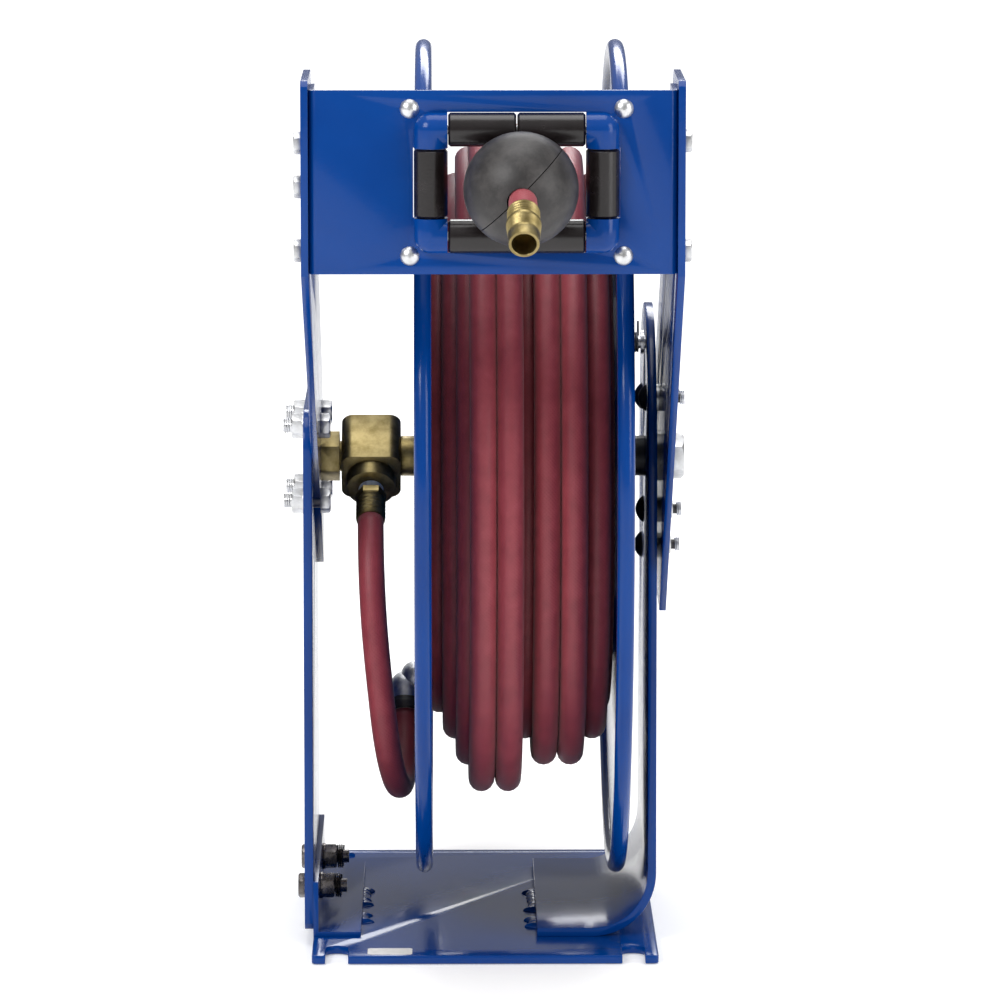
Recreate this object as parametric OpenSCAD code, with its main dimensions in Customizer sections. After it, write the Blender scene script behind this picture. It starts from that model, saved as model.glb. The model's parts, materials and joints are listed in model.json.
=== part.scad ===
// Spring-rewind hose reel with two pedestals, an external swivel and a four-way roller guide.
// Origin: middle of the base plate's underside. +X is the spring side, -Y the outlet side, +Z up.

/* [Base] */
// Width of the base plate
base_w = 202; // [196:1:210]
// Length of the base plate
base_l = 300; // [260:5:340]
// Thickness of the base plate
base_t = 5; // [4:0.5:6]
// Height of the drum's axle above the floor
axle_z = 277; // [272:1:300]

/* [Pedestals and guide arms] */
// Thickness of both pedestals
post_t = 5; // [4:0.5:6]
// Half of a pedestal's width at its foot
post_half = 100; // [90:1:110]
// Thickness of both guide arms
arm_t = 4; // [3:0.5:4]
// Distance of the roller guide in front of the axle
guide_y = 330; // [320:1:350]
// Height of the roller guide above the axle
guide_up = 197; // [194:1:200]
// Height of the roller guide's bracket
guide_h = 100; // [96:1:110]

/* [Drum] */
// Outer radius of the two discs
disc_r = 249; // [240:1:255]
// Distance between the middles of the two discs
disc_gap = 114; // [114:1:116]
// Middle of the drum across the reel
drum_x = 21.5; // [21:0.5:22]
// Outer radius of the drum's core
core_r = 122.5; // [118:0.5:122.5]

/* [Hose] */
// Outer diameter of the hose
hose_d = 15.5; // [14.5:0.1:15.5]
// Outer diameter of the rubber ball stop
ball_d = 62; // [58:1:62]

/* [Hidden] */
$fn = 48;
run = 0.05;
sheet_t = 2;
rim_d = 10;
rim_r = disc_r - rim_d / 2;
left_disc_x = drum_x - disc_gap / 2;
right_disc_x = drum_x + disc_gap / 2;

post_in_l = -base_w / 2;
post_in_r = base_w / 2 - post_t;
post_top_r = 92;
left_post_top = 38;
bend_r = 33;
foot_in = 31;
angle_t = 3;
angle_h = 33;
angle_foot = 28;
base_bolt_y = 42;
base_bolt_z = 23.7;
notch_x = 86.5;
notch_r = 6.65;
notch_deep = 27;
rear_slot_y = base_l / 2 - 7 - notch_r;

arm_in_l = post_in_l + arm_t;
arm_gap = 2.5;
arm_in_r = base_w / 2 + arm_gap;
guide_w = arm_in_r - arm_in_l;
guide_mid = (arm_in_r + arm_in_l) / 2;
guide_t = 3;
flange_l = 46;
open_x = 16;
roller_y = -guide_y - 3;
roller_r = 9.2;
side_roller_x = 46.5;
level_roller_z = 29;
pin_r = 2.5;
level_half = 37.5;
side_half = 19;
left_bolt_z = [-40, -5, 19];
right_bolt_z = [-40, 20];
left_arm_low = [40, -62];
right_arm_low = [-60, -84];
rivet_x = 58;
rivet_z = 40;

axle_r = 12;
axle_end = -20;
stem_r = 9;
stem_out_r = 14;
body_l = -84.8;
body_r = -49.5;
outlet_tilt = 38;
outlet_l = 27;
port_r = 8.6;
port_l = 18;
mid_plane = guide_up + axle_z;

layer = hose_d + 0.1;
layer_3 = core_r + hose_d / 2 + 2 * layer + 0.35;
layer_4 = layer_3 + layer;
layer_5 = layer_4 + layer + 0.25;
left_turn = -24.8;
elbow_x = -47.5;
elbow_low = [49.5, 112.6];
elbow_lean = 30;
elbow_leg = 16;
elbow_rise = 6.5;
elbow_y = elbow_low[0] + elbow_leg * sin(elbow_lean);
elbow_z = elbow_low[1] + elbow_leg * cos(elbow_lean);
elbow_yz = [elbow_y, elbow_z + elbow_rise - axle_z];

can_x = 20;
can_lid_x = 73;
can_r = 112;
disc_bolt_r = 116;
ratchet_r = 37.5;
notch_root = 31;
notch_turn = 20;
ratchet_x = right_disc_x + sheet_t / 2 + 0.5;
ratchet_t = 5;
pawl_pivot = [-19.5, 71];
pawl_lift = 9.6;
pawl_t = 4.2;

ball_x = 18;
ball_tilt = 8;
ball_y = roller_y - 29.2;
ball_up = guide_up - 0.5;
swivel_bolts = [for (y = [-30, 30], z = [-22.5, 22.5]) [y, z]];
arm_bolts = [[-30, 39], [45, 30], [12, -34], [40, -60]];

// Centre line of the hose from the top of the drum to the outlet fitting
outlet_route = [[13.8, -24, 469.6], [14.2, -70, 468.4], [14.8, -120, 468], [15.3, -175, 468.4],
    [15.9, -230, 469.6], [16.6, -285, 471.2], [17.3, -330, 472.8], [18, -362, 473.4],
    [18.2, -372, 473.2], [18.4, -382, 472], [18.6, -390, 469.9], [18.7, -397, 467], [18.8, -404, 463.2]];
// Centre line of the short hose from the swivel to the elbow on the drum
riser_route = [[-67.2, -41.8, 244.4], [-67, -52, 235.5], [-66.7, -61.5, 223], [-66, -69, 206],
    [-64.8, -73, 186], [-63, -74.5, 165], [-61, -74, 145], [-58.6, -70, 122.4], [-55.8, -58.6, 102.6],
    [-52.8, -41, 87.8], [-50.4, -19.5, 80], [-48.8, 3.5, 80], [-48, 25, 87.8], [-47.6, 42.6, 102.6],
    [-47.5, 49.2, 112]];

BLUE = [0.02, 0.2, 0.6];
HOSE = [0.45, 0.12, 0.2];
BRASS = [0.72, 0.6, 0.28];
ZINC = [0.75, 0.76, 0.78];
BLACK = [0.09, 0.08, 0.08];

// ---- helpers ----

// Puts a shape drawn along +Z onto the axle line, pointing along +X from x.
module on_axle(x) translate([x, 0, axle_z]) rotate([0, 90, 0]) children();

// Puts a shape drawn along +Z at [y, z] from the axle, pointing along +X from x.
module across(x, at) translate([x, at[0], axle_z + at[1]]) rotate([0, 90, 0]) children();

// Stands a flat outline, drawn as [y, z], up as a plate from x to x + t.
module plate_yz(x, t) translate([x, 0, 0]) rotate([90, 0, 90]) linear_extrude(t) children();

// Ring of inner radius a and outer radius b.
module ring(a, b, h) difference() {
    cylinder(r = b, h = h);
    translate([0, 0, -1]) cylinder(r = a, h = h + 2);
}

module torus(big, small) rotate_extrude() translate([big, 0]) circle(r = small, $fn = 24);

module hexagon(flats, h) cylinder(r = flats / sqrt(3), h = h, $fn = 6);

// Hexagon with its corners turned off on the far face.
module hex_head(flats, h) intersection() {
    hexagon(flats, h);
    cylinder(r1 = flats / sqrt(3) + h, r2 = flats / 2 * 0.98, h = h + 0.001);
}

// Hexagon bolt along +Z: head below zero, shank of length l above.
module hex_bolt(d, flats, head, l) {
    mirror([0, 0, 1]) hex_head(flats, head);
    cylinder(d = d, h = l);
}

module hex_nut(d, flats, h) difference() {
    hex_head(flats, h);
    translate([0, 0, -1]) cylinder(d = d, h = h + 2);
}

// Round-headed bolt along +Z, its head below zero.
module round_bolt(d, head_d, head, l) {
    big = (pow(head_d / 2, 2) + head * head) / (2 * head);
    intersection() {
        translate([0, 0, big - head]) sphere(r = big);
        translate([0, 0, -head - 1]) cylinder(d = head_d, h = head + 1);
    }
    cylinder(d = d, h = l);
}

// Rectangle with round corners, centred.
module rounded(w, h, r) {
    square([w - 2 * r, h], center = true);
    square([w, h - 2 * r], center = true);
    for (x = [-1, 1], y = [-1, 1]) translate([x * (w / 2 - r), y * (h / 2 - r)]) circle(r = r);
}

function unit(v) = v / norm(v);
function heading(p, i) = unit(p[min(i + 1, len(p) - 1)] - p[max(i - 1, 0)]);

// Sweeps a tube of the given diameter along a list of points.
module tube(points, d, sides) {
    rings = [for (i = [0 : len(points) - 1])
        let (t = heading(points, i), s = unit(cross(t, [1, 0, 0.01])), u = cross(s, t))
        for (k = [0 : sides - 1]) points[i] + d / 2 * (cos(360 * k / sides) * s + sin(360 * k / sides) * u)];
    last = (len(points) - 1) * sides;
    skin = [for (i = [0 : len(points) - 2], k = [0 : sides - 1])
        let (a = i * sides + k, b = i * sides + (k + 1) % sides) [a, b, b + sides, a + sides]];
    polyhedron(points = rings, faces = concat(skin,
        [[for (k = [sides - 1 : -1 : 0]) k]], [[for (k = [0 : sides - 1]) last + k]]));
}

// ---- base and pedestals ----

// Slot with round ends through the base plate, between two places along Y.
module slot(x, y0, y1) translate([x, 0, -1]) {
    for (y = [y0, y1]) translate([0, y, 0]) cylinder(r = notch_r, h = base_t + 2);
    translate([-notch_r, y0, 0]) cube([2 * notch_r, y1 - y0, base_t + 2]);
}

module base_plate() color(BLUE) difference() {
    linear_extrude(base_t) rounded(base_w, base_l, 3);
    for (x = [-notch_x, notch_x]) {
        slot(x, -base_l / 2 - 10, -base_l / 2 + notch_deep - notch_r);
        slot(x, rear_slot_y - 7, rear_slot_y);
    }
}

module base_angle() color(BLUE) difference() {
    translate([post_in_l, -post_half, base_t]) union() {
        cube([angle_t, 2 * post_half, angle_h]);
        cube([angle_foot, 2 * post_half, angle_t]);
    }
    for (y = [-base_bolt_y, base_bolt_y]) translate([post_in_l - 1, y, base_bolt_z])
        rotate([0, 90, 0]) cylinder(r = 4.2, h = angle_t + 2);
}

module left_outline() {
    top = axle_z + left_post_top;
    polygon([[-post_half, 13], [-post_half + 4, 9], [post_half - 4, 9], [post_half, 13],
        [92, top - 22], [70, top], [-70, top], [-92, top - 22]]);
    for (y = [-70, 70]) translate([y, top - 22]) circle(r = 22);
}

module left_pedestal() color(BLUE) difference() {
    plate_yz(post_in_l - post_t, post_t) left_outline();
    on_axle(post_in_l - post_t - 1) cylinder(r = stem_out_r + run, h = post_t + 2);
    for (p = swivel_bolts) across(post_in_l - post_t - 1, p) cylinder(r = 4.2, h = post_t + 2);
    for (y = [-base_bolt_y, base_bolt_y]) translate([post_in_l - post_t - 1, y, base_bolt_z])
        rotate([0, 90, 0]) cylinder(r = 4.2, h = post_t + 2);
}

module right_pedestal() color(BLUE) difference() {
    union() {
        plate_yz(post_in_r, post_t) {
            polygon([[-post_half, base_t + bend_r + post_t], [post_half, base_t + bend_r + post_t],
                [post_top_r, axle_z], [-post_top_r, axle_z]]);
            translate([0, axle_z]) circle(r = post_top_r, $fn = 96);
        }
        translate([post_in_r - bend_r, post_half, base_t + post_t + bend_r])
            rotate([90, 0, 0]) intersection() {
            ring(bend_r, bend_r + post_t, 2 * post_half);
            translate([0, -bend_r - post_t, 0]) cube([bend_r + post_t, bend_r + post_t, 2 * post_half]);
        }
        translate([foot_in, -post_half, base_t])
            cube([post_in_r - bend_r - foot_in, 2 * post_half, post_t]);
    }
    on_axle(post_in_r - 1) cylinder(r = 8.2, h = post_t + 2);
    for (p = arm_bolts) across(post_in_r - 1, p) cylinder(r = 3.2, h = post_t + 2);
    across(post_in_r - 1, pawl_pivot) cylinder(r = 4, h = post_t + 2);
}

// Quarter-round bead in the corner at x; side is +1 where it lies on the +X side of that corner.
module bead(x, side, y, l) translate([x, y + l, base_t]) rotate([90, 0, 0]) intersection() {
    cylinder(r = 4, h = l);
    translate([side > 0 ? 0 : -5, 0, 0]) cube([5, 5, l]);
}

// Fillet welds that hold the foot and the angle to the base plate.
module weld_beads() color(BLUE) {
    bead(foot_in, -1, -60, 80);
    bead(post_in_l + angle_foot, 1, -70, 80);
}

module base_bolts() color(ZINC) for (y = [-base_bolt_y, base_bolt_y])
    translate([post_in_l - post_t, y, base_bolt_z]) rotate([0, 90, 0]) hex_bolt(8, 13, 5, 24);

module base_nuts() color(ZINC) for (y = [-base_bolt_y, base_bolt_y])
    translate([post_in_l + angle_t, y, base_bolt_z]) rotate([0, 90, 0]) {
        ring(4.2, 8, 1.6);
        translate([0, 0, 1.6]) hex_nut(8, 13, 7);
    }

// ---- guide arms, bracket and rollers ----

// Side view of a guide arm; low is the corner at its lower front.
module arm_outline(low) {
    front = -guide_y - 2;
    polygon([[front, axle_z + 249], [front + 3, axle_z + 252], [front + 80, axle_z + 252],
        [-40, axle_z + 105], [40, axle_z + 45], [86, axle_z - 8], [84, axle_z - 60], [60, axle_z - 74],
        [low[0], axle_z + low[1]], [front, axle_z + 146]]);
}

module guide_arm(x, bolt_z, low) difference() {
    plate_yz(x, arm_t) arm_outline(low);
    for (z = bolt_z) translate([x - 1, -guide_y + 27, mid_plane + z])
        rotate([0, 90, 0]) cylinder(r = 3.2, h = arm_t + 2);
    children();
}

module left_guide_arm() color(BLUE) guide_arm(post_in_l, left_bolt_z, left_arm_low) {
    on_axle(post_in_l - 1) cylinder(r = stem_out_r + run, h = arm_t + 2);
    for (p = swivel_bolts) across(post_in_l - 1, p) cylinder(r = 4.2, h = arm_t + 2);
}

module right_guide_arm() color(BLUE) guide_arm(arm_in_r, right_bolt_z, right_arm_low) {
    on_axle(arm_in_r - 1) cylinder(r = 8.2, h = arm_t + 2);
    for (p = arm_bolts) across(arm_in_r - 1, p) cylinder(r = 3.2, h = arm_t + 2);
}

// One round corner of the roller frame: the bend between a level roller's pin and an upright one.
module guide_corner(sx, sz) translate([open_x, roller_y, mid_plane]) {
    translate([sx * side_roller_x, 0, sz * level_roller_z]) {
        sphere(r = roller_r);
        rotate([0, -sx * 90, 0]) cylinder(r = roller_r, h = side_roller_x - level_half);
        rotate([sz > 0 ? 180 : 0, 0, 0]) cylinder(r = roller_r, h = level_roller_z - side_half);
    }
}

module pin_lines(r, reach) translate([open_x, roller_y, mid_plane]) {
    for (z = [-level_roller_z, level_roller_z]) translate([-level_half - reach, 0, z])
        rotate([0, 90, 0]) cylinder(r = r, h = 2 * (level_half + reach));
    for (x = [-side_roller_x, side_roller_x]) translate([x, 0, -side_half - reach])
        cylinder(r = r, h = 2 * (side_half + reach));
}

module guide_hole(x, z) translate([x, -guide_y + 27, mid_plane + z])
    rotate([0, 90, 0]) cylinder(r = 3.2, h = guide_t + 2);

module guide_bracket() color(BLUE) difference() {
    union() {
        difference() {
            translate([guide_mid, -guide_y + flange_l / 2, mid_plane - guide_h / 2]) linear_extrude(guide_h)
                difference() {
                    rounded(guide_w, flange_l, 5);
                    rounded(guide_w - 2 * guide_t, flange_l - 2 * guide_t, 2);
                    translate([0, flange_l / 2]) square([guide_w - 2 * guide_t, flange_l], center = true);
                }
            translate([open_x, -guide_y + guide_t + 1, mid_plane]) rotate([90, 0, 0])
                linear_extrude(guide_t + 2) {
                square([2 * level_half, 2 * (level_roller_z + roller_r)], center = true);
                square([2 * (side_roller_x + roller_r + 0.4), 2 * side_half], center = true);
            }
        }
        for (x = [-1, 1], z = [-1, 1]) guide_corner(x, z);
    }
    pin_lines(pin_r, 4);
    for (x = [-rivet_x, rivet_x], z = [-rivet_z, rivet_z])
        translate([open_x + x, -guide_y - 1, mid_plane + z])
            rotate([-90, 0, 0]) cylinder(r = 3, h = guide_t + 2);
    for (z = left_bolt_z) guide_hole(arm_in_l - 1, z);
    for (z = right_bolt_z) guide_hole(arm_in_r - guide_t - 1, z);
}

module roller_pins() color(ZINC) pin_lines(pin_r, 4);

module guide_bolts() color(ZINC) translate([0, -guide_y + 27, mid_plane]) {
    for (z = left_bolt_z) translate([post_in_l, 0, z]) rotate([0, 90, 0]) hex_bolt(6, 11, 4.5, 16);
    for (z = right_bolt_z)
        translate([arm_in_r + arm_t, 0, z]) rotate([0, -90, 0]) hex_bolt(6, 11, 4.5, 16);
}

module guide_nuts() color(ZINC) translate([0, -guide_y + 27, mid_plane]) {
    for (z = left_bolt_z) translate([arm_in_l + guide_t, 0, z]) rotate([0, 90, 0]) hex_nut(6, 10, 5);
    for (z = right_bolt_z) translate([arm_in_r - guide_t, 0, z]) rotate([0, -90, 0]) hex_nut(6, 10, 5);
}

module guide_rivets() color(ZINC) for (x = [-rivet_x, rivet_x], z = [-rivet_z, rivet_z])
    translate([open_x + x, -guide_y, mid_plane + z]) rotate([-90, 0, 0]) round_bolt(6, 10.5, 3, guide_t + 2);

// Roller along +Z with eased ends, bored for its pin.
module roller(l) rotate_extrude() polygon([[pin_r + run, 0], [roller_r - 1.2, 0], [roller_r, 1.2],
    [roller_r, l - 1.2], [roller_r - 1.2, l], [pin_r + run, l]]);

module level_roller(side, z) color(BLACK) translate([open_x + side * 0.3, roller_y, mid_plane + z])
    rotate([0, side * 90, 0]) roller(level_half - 0.7);

module upright_roller(side) color(BLACK)
    translate([open_x + side * side_roller_x, roller_y, mid_plane - side_half + 0.4])
        roller(2 * side_half - 0.8);

module top_left_roller() level_roller(-1, level_roller_z);
module top_right_roller() level_roller(1, level_roller_z);
module bottom_left_roller() level_roller(-1, -level_roller_z);
module bottom_right_roller() level_roller(1, -level_roller_z);
module left_roller() upright_roller(-1);
module right_roller() upright_roller(1);

// ---- axle and fixed fittings ----

module axle_shaft() color(BLACK) difference() {
    on_axle(axle_end) cylinder(r = axle_r, h = post_in_r - axle_end);
    on_axle(post_in_r - 26) cylinder(r = 8, h = 27);
}

module axle_bolt() color(ZINC) on_axle(arm_in_r + arm_t + 2) mirror([0, 0, 1]) hex_bolt(16, 24, 10.5, 34);

module axle_washer() color(ZINC) on_axle(arm_in_r + arm_t) ring(8.2, 15, 2);

module arm_bolts() color(BLACK) for (p = arm_bolts) across(post_in_r, p) round_bolt(6, 16, 4.5, 22);

module arm_nuts() color(ZINC) for (p = arm_bolts) across(arm_in_r + arm_t, p) {
    ring(3.2, 6.5, 1.4);
    translate([0, 0, 1.4]) hex_nut(6, 10, 5);
}

// Washers that hold the right arm clear of its pedestal.
module arm_spacers() color(ZINC) {
    on_axle(base_w / 2) ring(8.2, 15, arm_gap);
    for (p = arm_bolts) across(base_w / 2, p) ring(3.2, 8, arm_gap);
}

module swivel_stem() color(BRASS) difference() {
    union() {
        on_axle(post_in_l - post_t) cylinder(r = stem_out_r, h = post_t + arm_t);
        on_axle(arm_in_l) hexagon(26, 11);
        on_axle(arm_in_l + 11) cylinder(r = stem_r, h = 27);
    }
    on_axle(post_in_l - post_t - 1) cylinder(r = port_r, h = port_l + 1);
    on_axle(post_in_l) cylinder(r = 5, h = 60);
    for (x = [-76, -68]) on_axle(x) ring(7.2, 10, 2.4);
}

module swivel_o_rings() color(BLACK) for (x = [-76, -68]) on_axle(x + 1.2) torus(8.1, 0.9);

module swivel_bolts() color(ZINC) for (p = swivel_bolts)
    across(arm_in_l, p) mirror([0, 0, 1]) hex_bolt(8, 13, 6, 22);

module swivel_nuts() color(ZINC) for (p = swivel_bolts) across(post_in_l - post_t, p) mirror([0, 0, 1]) {
    ring(4.2, 8, 1.6);
    translate([0, 0, 1.6]) hex_nut(8, 13, 6.5);
}

module pawl_pivot_pin() color(ZINC) across(ratchet_x - 0.2, pawl_pivot) {
    cylinder(r = 3.9, h = post_in_r + post_t - ratchet_x + 0.2);
    translate([0, 0, 13.5]) cylinder(r = 7, h = 1.9);
}

module pawl_spring() color(ZINC) for (i = [0 : 3])
    across(ratchet_x + ratchet_t + 1.4 + i * 1.8, pawl_pivot) torus(5.4, 0.8);

module spring_arbor() color(ZINC) on_axle(can_x + 5) ring(axle_r, 17, 46);

// ---- drum ----

// A disc with a rolled edge and two pressed ribs; side is +1 where the ribs face +X.
module disc(x, side, hole_r) color(BLUE) on_axle(x) mirror([0, 0, side > 0 ? 0 : 1]) {
    rotate_extrude($fn = 128) polygon([[hole_r, -sheet_t / 2], [rim_r, -sheet_t / 2], [rim_r, sheet_t / 2],
        [221, sheet_t / 2], [218, sheet_t / 2 + 1.5], [212, sheet_t / 2 + 1.5], [209, sheet_t / 2],
        [171, sheet_t / 2], [168, sheet_t / 2 + 1.5], [162, sheet_t / 2 + 1.5], [159, sheet_t / 2],
        [hole_r, sheet_t / 2]]);
    rotate_extrude($fn = 128) translate([rim_r, 0]) circle(d = rim_d, $fn = 24);
}

// Shapes of the bolt holes that the two discs and the core's flanges share.
module disc_bolt_holes() for (a = [30 : 60 : 330])
    across(left_disc_x - 2, disc_bolt_r * [cos(a), sin(a)]) cylinder(r = 3.1, h = disc_gap + 4);

module left_disc() difference() {
    disc(left_disc_x, -1, 12);
    disc_bolt_holes();
    across(left_disc_x - 5, elbow_yz) cylinder(r = 8, h = 10);
}

module right_disc() difference() {
    disc(right_disc_x, 1, 28);
    disc_bolt_holes();
}

module drum_core() color(BLUE) difference() {
    union() {
        on_axle(left_disc_x + sheet_t / 2) ring(core_r - 2, core_r, disc_gap - sheet_t);
        on_axle(left_disc_x + sheet_t / 2) ring(can_r + 0.3, core_r, 2);
        on_axle(right_disc_x - sheet_t / 2 - 2) ring(can_r + 0.3, core_r, 2);
    }
    disc_bolt_holes();
}

module left_hub() color(BLUE) on_axle(left_disc_x + sheet_t / 2) ring(10, 30, 8);

module right_hub() color(BLUE) on_axle(right_disc_x - sheet_t / 2) {
    ring(16, 28, sheet_t);
    mirror([0, 0, 1]) ring(16, 34, 2);
}

module hub_bushes() color(BRASS) {
    on_axle(right_disc_x - 2) ring(axle_r + run, 16, 6);
    on_axle(can_x - 3) ring(axle_r + run, 16, 6);
}

module spring_can() color(BLUE) on_axle(can_x) {
    ring(16, can_r, 2);
    ring(can_r - 2, can_r, right_disc_x - sheet_t / 2 - can_x);
}

module spring_can_lid() color(BLUE) on_axle(can_lid_x) ring(18, can_r - 2, 1.5);

// Flat spiral of the rewind spring, wound close to the can's wall.
module power_spring() color(ZINC) {
    turns = 9;
    pitch = 9.9;
    steps = turns * 24;
    inner = [for (i = [0 : steps]) (19 + pitch * i / 24) * [cos(15 * i), sin(15 * i)]];
    outer = [for (i = [steps : -1 : 0]) (20.2 + pitch * i / 24) * [cos(15 * i), sin(15 * i)]];
    on_axle(can_x + 6) linear_extrude(40) polygon(concat(inner, outer));
}

module ratchet_wheel() color(BLACK) on_axle(ratchet_x) difference() {
    ring(16, ratchet_r, ratchet_t);
    for (a = [notch_turn : 60 : 300 + notch_turn]) rotate([0, 0, a]) translate([-ratchet_r - 5, -12, -1])
        cube([ratchet_r + 5 - notch_root, 24, ratchet_t + 2]);
}

module disc_bolts() color(ZINC) for (a = [30 : 60 : 330]) {
    at = disc_bolt_r * [cos(a), sin(a)];
    across(left_disc_x - sheet_t / 2, at) round_bolt(6, 12, 2.5, 12);
    across(right_disc_x + sheet_t / 2, at) mirror([0, 0, 1]) round_bolt(6, 12, 2.5, 12);
}

// Turns a shape drawn along +Z to point along the swivel's outlet.
module on_outlet(out) translate([(body_l + body_r) / 2, 0, axle_z]) rotate([90 + outlet_tilt, 0, 0])
    translate([0, 0, out]) children();

module swivel_body() color(BRASS) {
    w = body_r - body_l;
    difference() {
        union() {
            on_outlet(-17.5) linear_extrude(35) rounded(w, 35, 7);
            on_outlet(0) cylinder(r = 14.5, h = outlet_l);
        }
        on_axle(body_l - 1) cylinder(r = stem_r + run, h = w - 5);
        on_outlet(0) cylinder(r = 6.5, h = outlet_l + 1);
    }
}

module swivel_collar() color(BRASS) difference() {
    union() {
        on_axle(body_r) cylinder(r = 12, h = left_disc_x - sheet_t / 2 - body_r - 3);
        on_axle(body_r) cylinder(r = 10, h = left_disc_x + 9 - body_r);
    }
    on_axle(body_r - 1) cylinder(r = 4, h = 40);
}

module thread_tape() color("white") on_outlet(outlet_l) ring(5, 8, 4);

module riser_ferrule() color(BRASS) {
    on_outlet(outlet_l + 4) difference() {
        hexagon(16, 6);
        translate([0, 0, -1]) cylinder(r = 5, h = 8);
    }
    on_outlet(outlet_l + 10) difference() {
        cylinder(r = 8.9, h = 15.4);
        translate([0, 0, -1]) cylinder(r = 5, h = 20);
    }
}

module riser_hose() color(HOSE) tube(riser_route, hose_d, 12);

// Stands a shape drawn along +Z on the upper end of the short hose.
module on_riser_end() translate([elbow_x, elbow_low[0], elbow_low[1]])
    rotate([-elbow_lean, 0, 0]) children();

module riser_clamp() color(BLACK) on_riser_end() {
    ring(6, 9.2, 5);
    translate([0, 0, 5]) ring(6, 8.6, 2.4);
}

// Elbow that takes the short hose through the disc to the wound hose.
module drum_elbow() color(ZINC) {
    on_riser_end() cylinder(r = 6, h = elbow_leg);
    on_riser_end() translate([0, 0, 7.6]) cylinder(r = 8.2, h = elbow_leg - 7.6);
    translate([elbow_x, elbow_y, elbow_z]) sphere(r = 9.2);
    across(elbow_x + elbow_rise, elbow_yz) {
        difference() {
            sphere(r = 9.2);
            translate([-10, -10, 2.8]) cube(20);
        }
        cylinder(r = 8, h = left_disc_x + sheet_t / 2 + 0.1 - elbow_x - elbow_rise);
    }
}

// Outer shape of the layers that turn with the drum.
module wound_hose() color(HOSE) on_axle(0) {
    translate([0, 0, left_disc_x + 1.2]) ring(core_r + 0.1, layer_3 + hose_d / 2, disc_gap - 2.4);
    translate([0, 0, left_turn + layer / 2])
        ring(layer_3 + hose_d / 2 - 0.1, layer_4 + hose_d / 2, 5 * layer);
}

// Outer shape of the last two turns, which lie still in line with the guide.
module outer_turns() color(HOSE) on_axle(left_turn + layer) rotate_extrude($fn = 96)
    for (i = [0, 1]) translate([layer_5, layer * (i + 0.5)]) circle(d = hose_d, $fn = 24);

// Pawl, lifted clear of the ratchet; it turns about its pin to drop into a notch.
module pawl() color(BLUE) across(ratchet_x + 0.4, pawl_pivot) difference() {
    union() {
        cylinder(r = 9, h = pawl_t);
        rotate([0, 0, -pawl_lift]) translate([0, -4, 0]) cube([38, 8, pawl_t]);
    }
    translate([0, 0, -1]) cylinder(r = 3.9 + run, h = pawl_t + 2);
}

// ---- outlet ----

module delivery_hose() color(HOSE) tube(outlet_route, hose_d, 12);

// Turns a shape drawn along +Z to point out along the end of the hose, starting at its last point.
module on_outlet_end(out) {
    last = len(outlet_route) - 1;
    d = unit(outlet_route[last] - outlet_route[last - 1]);
    translate(outlet_route[last]) rotate([acos(d[2]), 0, 0]) translate([0, 0, out]) children();
}

// Rubber ball clamped on the hose; its bore leans down with the hose by a few degrees.
module ball() translate([ball_x, ball_y, axle_z + ball_up]) difference() {
    sphere(d = ball_d, $fn = 64);
    rotate([90 + ball_tilt, 0, 0]) cylinder(r = hose_d / 2 + 0.15, h = 80, center = true);
}

module half_space(side) translate([ball_x, ball_y, axle_z + ball_up]) rotate([0, -45, 0])
    translate([-50, -50, side > 0 ? 0.25 : -50.25]) cube([100, 100, 50]);

module ball_stop_upper() color(BLACK) intersection() { ball(); half_space(1); }
module ball_stop_lower() color(BLACK) intersection() { ball(); half_space(-1); }

module ball_screws() color(ZINC) translate([ball_x, ball_y, axle_z + ball_up]) rotate([0, -45, 0])
    for (x = [-17, 17]) translate([x, 0, -16]) cylinder(r = 2, h = 32);

module outlet_ferrule() color(BRASS) on_outlet_end(-4) ring(hose_d / 2, 8.9, 11);

module outlet_fitting() color(BRASS) difference() {
    union() {
        on_outlet_end(0.2) cylinder(r = 7.6, h = 6.8);
        on_outlet_end(7) cylinder(r1 = 9.6, r2 = 8.4, h = 19);
    }
    on_outlet_end(0) cylinder(r = 4, h = 30);
    on_outlet_end(8) cylinder(r = 6.6, h = 20);
}

base_plate();
base_angle();
left_pedestal();
right_pedestal();
weld_beads();
base_bolts();
base_nuts();
left_guide_arm();
right_guide_arm();
guide_bracket();
guide_bolts();
guide_nuts();
guide_rivets();
roller_pins();
top_left_roller();
top_right_roller();
bottom_left_roller();
bottom_right_roller();
left_roller();
right_roller();
axle_shaft();
axle_bolt();
axle_washer();
arm_bolts();
arm_nuts();
arm_spacers();
swivel_stem();
swivel_o_rings();
swivel_bolts();
swivel_nuts();
pawl_pivot_pin();
pawl_spring();
spring_arbor();
left_disc();
right_disc();
drum_core();
left_hub();
right_hub();
hub_bushes();
spring_can();
spring_can_lid();
power_spring();
ratchet_wheel();
disc_bolts();
swivel_body();
swivel_collar();
thread_tape();
riser_ferrule();
riser_hose();
riser_clamp();
drum_elbow();
wound_hose();
pawl();
outer_turns();
delivery_hose();
ball_stop_upper();
ball_stop_lower();
ball_screws();
outlet_ferrule();
outlet_fitting();
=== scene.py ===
"""Looks of the spring-rewind hose reel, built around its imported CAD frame."""
import json
import math
import random

import bmesh
import bpy
from mathutils import Matrix, Vector


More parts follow.
